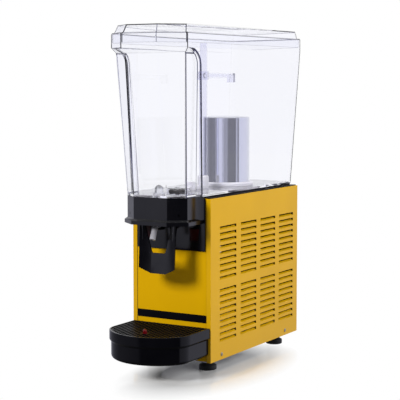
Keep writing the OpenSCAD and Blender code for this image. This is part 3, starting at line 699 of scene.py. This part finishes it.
def makeScrews():
    head, shank, end = screws["head"], screws["shank"], -screws["shankLength"]
    rim, crown = screws["rim"], screws["crown"]
    profile = [(0, end), (shank, end), (shank, 0), (head, 0), (head, rim)]
    for degrees in range(15, 91, 15):
        turn = math.radians(degrees)
        profile.append((head * math.cos(turn), rim + crown * math.sin(turn)))
    pattern = turnedPiece("screwPattern", (0, 0, 0), profile, screws["steps"])
    length, width, depth = screws["slot"]
    for sizes in ((length, width), (width, length)):
        bpy.ops.mesh.primitive_cube_add(size=1, location=(0, 0, (rim + crown) * mm))
        cutter = bpy.context.active_object
        cutter.scale = (sizes[0] * mm, sizes[1] * mm, 2 * depth * mm)
        applyModifier(pattern, "BOOLEAN", object=cutter, operation="DIFFERENCE", solver="EXACT")
        bpy.data.objects.remove(cutter)
    placed = []
    for side in (-1, 1):
        for y in screws["ys"]:
            makeActive(pattern)
            bpy.ops.object.duplicate()
            screw = bpy.context.active_object
            screw.rotation_mode = "ZYX"           # first about its own axis
            screw.rotation_euler = (0, math.radians(90 * side), math.radians(screws["turn"] * len(placed)))
            screw.location = (side * screws["side"] * mm, y * mm, screws["z"] * mm)
            bpy.ops.object.transform_apply(location=True, rotation=True, scale=True)
            placed.append(screw)
    bpy.data.objects.remove(pattern)
    makeActive(placed[0])
    for screw in placed[1:]:
        screw.select_set(True)
    bpy.ops.object.join()
    piece = bpy.context.active_object
    piece.name = "side_screws.cross"
    piece.data.name = "side_screws.cross"
    dress(piece, "side_screws")
    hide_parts("side_screws")
    print("screws:", len(placed))


makeScrews()

# cable gland in the rear panel: threaded body, hexagonal nut outside, ribbed cap with the cord's bore
gland = {
    "place": (0, 261, 50.2), "bore": 4, "rear": -7, "length": 14, "steps": 64,
    "thread": 6, "threadFrom": -6.6, "threadTurns": 3, "threadPitch": 0.4, "threadDeep": 0.2,
    "backNut": (8, -5.5, -1.5),        # radius, and its two ends
    "nut": 11, "nutHeight": 5, "nutEdge": (0.5, 3), "nutPlay": 0.02,
    "collar": (9, 6), "collarEdge": (8.6, 6.6),
    "rib": (8.4, 8.0), "ribFrom": 7.2, "ribHeight": 0.4, "ribs": 4, "ribPitch": 1.2, "ribTaper": 0.12,
    "capBend": (6.1, 1.4), "mouthBend": 0.6,
}


def makeGland():
    bore, thread, rear, front = gland["bore"], gland["thread"], gland["rear"], gland["length"]
    pitch = gland["threadPitch"]
    profile = [(bore, rear), (thread, rear)]
    for step in range(gland["threadTurns"]):
        height = gland["threadFrom"] + step * pitch
        profile += [(thread, height), (thread - gland["threadDeep"], height + pitch / 2)]
    backNut, backEnd, backFace = gland["backNut"]
    profile += [(thread, backEnd), (backNut, backEnd), (backNut, backFace), (thread, backFace)]
    collar, collarEnd = gland["collar"]
    profile += [(thread, gland["nutHeight"]), (collar, gland["nutHeight"]), (collar, collarEnd)]
    profile += [gland["collarEdge"]]
    outer, inner = gland["rib"]
    for step in range(gland["ribs"]):
        taper = step * gland["ribTaper"]
        height = gland["ribFrom"] + step * gland["ribPitch"]
        profile += [(outer - taper, height), (inner - taper, height + gland["ribHeight"])]
    capPlace, capBend = gland["capBend"]
    mouth = gland["mouthBend"]
    profile += arcOf((capPlace, front - capBend), capBend, 0, 90, 4)
    profile += arcOf((bore + mouth, front - mouth), mouth, 90, 180, 3)
    profile += [(bore, rear)]
    body = turnedPiece("cable_gland.turned", (0, 0, 0), profile, gland["steps"])
    tall = gland["nutHeight"] * mm
    across = gland["nut"] * mm
    bpy.ops.mesh.primitive_cylinder_add(vertices=6, radius=across, depth=tall, location=(0, 0, tall / 2))
    nut = bpy.context.active_object
    hole = (thread + gland["nutPlay"]) * mm
    bpy.ops.mesh.primitive_cylinder_add(vertices=gland["steps"], radius=hole, depth=4 * tall)
    cutter = bpy.context.active_object
    applyModifier(nut, "BOOLEAN", object=cutter, operation="DIFFERENCE", solver="EXACT")
    bpy.data.objects.remove(cutter)
    softenEdges(nut, *gland["nutEdge"])
    makeActive(body)
    nut.select_set(True)
    bpy.ops.object.join()
    body.rotation_euler = (math.radians(-90), 0, 0)
    body.location = [value * mm for value in gland["place"]]
    bpy.ops.object.transform_apply(location=True, rotation=True, scale=True)
    dress(body, "cable_gland")
    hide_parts("cable_gland")
    print("gland: bore", bore, "mm")


makeGland()


# what keeps its solid as it is takes the finish of its slot

def dressPlainNodes():
    plain = [name for name, node in nodes.items() if not node.hide_render]
    for nodeName in plain:
        node = nodes[nodeName]
        node.data.materials.clear()
        node.data.materials.append(finishes[slotOf[nodeName]])
    print("plain nodes:", len(plain))


dressPlainNodes()


# studio: white floor and background, dark room behind the camera
studio = {
    "bounces": {"max_bounces": 24, "transmission_bounces": 24, "glossy_bounces": 8},
    "floorRadius": 6.0,
    "floorSides": 96,
    "floorShade": 0.64,
    "floorBounce": 0.13,                # what the floor sends back to other surfaces
    "floorGloss": {"Roughness": 0.12, "Specular IOR Level": 0.8},
    "litCentre": (0.072, -0.1, 0),      # the floor is lit about here and plain white further out
    "litReach": (0.15, 0.3, 1),
    "litFade": (0.53, 1.0),             # where it fades, in shares of the reach
    "ambient": 0.08,
    "overhead": 0.8,
    "below": 0.1,
    "roomTint": (1, 1, 1.2),
    "horizon": (-0.15, -0.1),           # heights, from -1 to 1, between which the room changes
    "nadir": (-0.5, -0.3),
    "zenith": (0.5, 0.85),
    # brightness of the room in reflections, by degrees to the right of the line towards the camera:
    # above the horizon, as seen through clear plastic, and towards the floor
    "roomHigh": (
        (-180, 1.0), (-139, 0.6), (-105, 0.25), (-97, 0.12), (-88, 0.08), (-83, 0.64), (-50, 0.64),
        (-46, 0.03), (50, 0.03), (56, 0.72), (90, 0.78), (119, 0.78), (150, 1.0), (180, 1.0),
    ),
    "roomThrough": (
        (-180, 1.0), (-139, 0.9), (-100, 0.3), (-82, 0.15), (-52, 0.15), (-48, 0.8), (-14, 0.8),
        (-9, 0.4), (6, 0.38), (11, 0.14), (49, 0.12), (51, 0.6), (57, 0.6), (58, 0.14), (64, 0.14),
        (67, 0.86), (119, 0.9), (150, 1.0), (180, 1.0),
    ),
    "roomLow": (
        (-180, 0.5), (-139, 0.25), (-110, 0.2), (-95, 0.3), (-50, 0.3), (-46, 0.03), (50, 0.03),
        (56, 0.72), (90, 0.78), (119, 0.78), (150, 1.0), (180, 1.0),
    ),
    "lamps": {
        # place, aim, width, height, watts, seen in reflections
        "keySoftbox": ((-0.70, -2.05, 1.38), (0, -0.14, 0.25), 0.7, 0.7, 57, False),
        "sideSoftbox": ((2.3, -0.3, 1.3), (0, 0, 0.3), 1.4, 1.6, 69, False),
        "topSoftbox": ((-0.1, 0.8, 2.3), (0, -0.1, 0.2), 1.1, 1.1, 34, True),
        "backSoftbox": ((-2.0, 1.6, 1.4), (0, 0.05, 0.3), 1.4, 1.4, 55, False),
    },
}
for setting, count in studio["bounces"].items():
    setattr(scene.cycles, setting, count)


def greyOf(level):
    return (level, level, level)


def makeFloor():
    deselectAll()
    bpy.ops.mesh.primitive_circle_add(vertices=studio["floorSides"], radius=studio["floorRadius"],
                                      fill_type="NGON")
    floor = bpy.context.active_object
    floor.name = "floor"
    shade, bounce = greyOf(studio["floorShade"]), greyOf(studio["floorBounce"])
    finish, tree, shader = startFinish("whiteFloor", shade, studio["floorGloss"])
    path = tree.nodes.new("ShaderNodeLightPath")
    varyColour(tree, shader, path.outputs["Is Diffuse Ray"], shade, bounce)
    glow = tree.nodes.new("ShaderNodeEmission")
    glow.inputs["Strength"].default_value = 1.0      # plain white
    coord = tree.nodes.new("ShaderNodeTexCoord")
    reach = tree.nodes.new("ShaderNodeMapping")
    reach.vector_type = "TEXTURE"
    reach.inputs["Location"].default_value = studio["litCentre"]
    reach.inputs["Scale"].default_value = studio["litReach"]
    tree.links.new(coord.outputs["Object"], reach.inputs["Vector"])
    length = tree.nodes.new("ShaderNodeVectorMath")
    length.operation = "LENGTH"
    tree.links.new(reach.outputs["Vector"], length.inputs[0])
    fade = spread(tree, length.outputs["Value"], 0, 1, *studio["litFade"])
    seen = mathOf(tree, "MAXIMUM", path.outputs["Is Camera Ray"], path.outputs["Is Transmission Ray"])
    mix = tree.nodes.new("ShaderNodeMixShader")
    tree.links.new(mathOf(tree, "MULTIPLY", fade, seen), mix.inputs["Fac"])
    tree.links.new(shader.outputs["BSDF"], mix.inputs[1])
    tree.links.new(glow.outputs["Emission"], mix.inputs[2])
    tree.links.new(mix.outputs["Shader"], tree.nodes["Material Output"].inputs["Surface"])
    floor.visible_glossy = False              # reflections look past it into the room
    floor.data.materials.append(finish)


def makeWorld():
    world = bpy.data.worlds.new("studio")
    scene.world = world
    world.use_nodes = True
    world.cycles.sampling_method = "NONE"
    tree = world.node_tree
    background = tree.nodes["Background"]
    coord = tree.nodes.new("ShaderNodeTexCoord")
    sight = tree.nodes.new("ShaderNodeSeparateXYZ")
    tree.links.new(coord.outputs["Camera"], sight.inputs["Vector"])
    behind = mathOf(tree, "MULTIPLY", sight.outputs["Z"], -1)
    turns = mathOf(tree, "ARCTAN2", sight.outputs["X"], behind)
    share = spread(tree, turns, 0, 1, -math.pi, math.pi)
    height = tree.nodes.new("ShaderNodeSeparateXYZ")
    tree.links.new(coord.outputs["Generated"], height.inputs["Vector"])
    bands = {}
    for level in ("roomHigh", "roomLow", "roomThrough"):
        ramp = tree.nodes.new("ShaderNodeValToRGB")
        tree.links.new(share, ramp.inputs["Fac"])
        stops = ramp.color_ramp.elements
        while len(stops) < len(studio[level]):
            stops.new(0.5)
        for stop, (degrees, bright) in zip(stops, studio[level]):
            stop.position = (degrees + 180) / 360
            stop.color = (*[min(1, bright * part) for part in studio["roomTint"]], 1)
        bands[level] = ramp.outputs["Color"]
    path = tree.nodes.new("ShaderNodeLightPath")
    up = height.outputs["Z"]
    high = spread(tree, up, 0, 1, *studio["horizon"])
    room = mixColours(tree, high, bands["roomLow"], bands["roomHigh"])
    room = mixColours(tree, spread(tree, up, 1, 0, *studio["nadir"]), room, greyOf(studio["below"]))
    room = mixColours(tree, path.outputs["Is Transmission Ray"], room, bands["roomThrough"])
    room = mixColours(tree, spread(tree, up, 0, 1, *studio["zenith"]), room, greyOf(studio["overhead"]))
    room = mixColours(tree, path.outputs["Is Diffuse Ray"], room, greyOf(studio["ambient"]))
    room = mixColours(tree, path.outputs["Is Camera Ray"], room, greyOf(1))
    tree.links.new(room, background.inputs["Color"])


def makeLamps():
    for name, (place, aim, width, height, watts, mirrored) in studio["lamps"].items():
        bpy.ops.object.light_add(type="AREA", location=place)
        lamp = bpy.context.active_object
        lamp.name = name
        lamp.data.shape = "RECTANGLE"
        lamp.data.size = width
        lamp.data.size_y = height
        lamp.data.energy = watts
        lamp.visible_glossy = mirrored
        lamp.visible_transmission = False
        lamp.rotation_euler = (Vector(aim) - Vector(place)).to_track_quat("-Z", "Y").to_euler()


makeFloor()
makeWorld()
makeLamps()
print("studio: floor, world and", len(studio["lamps"]), "lamps")
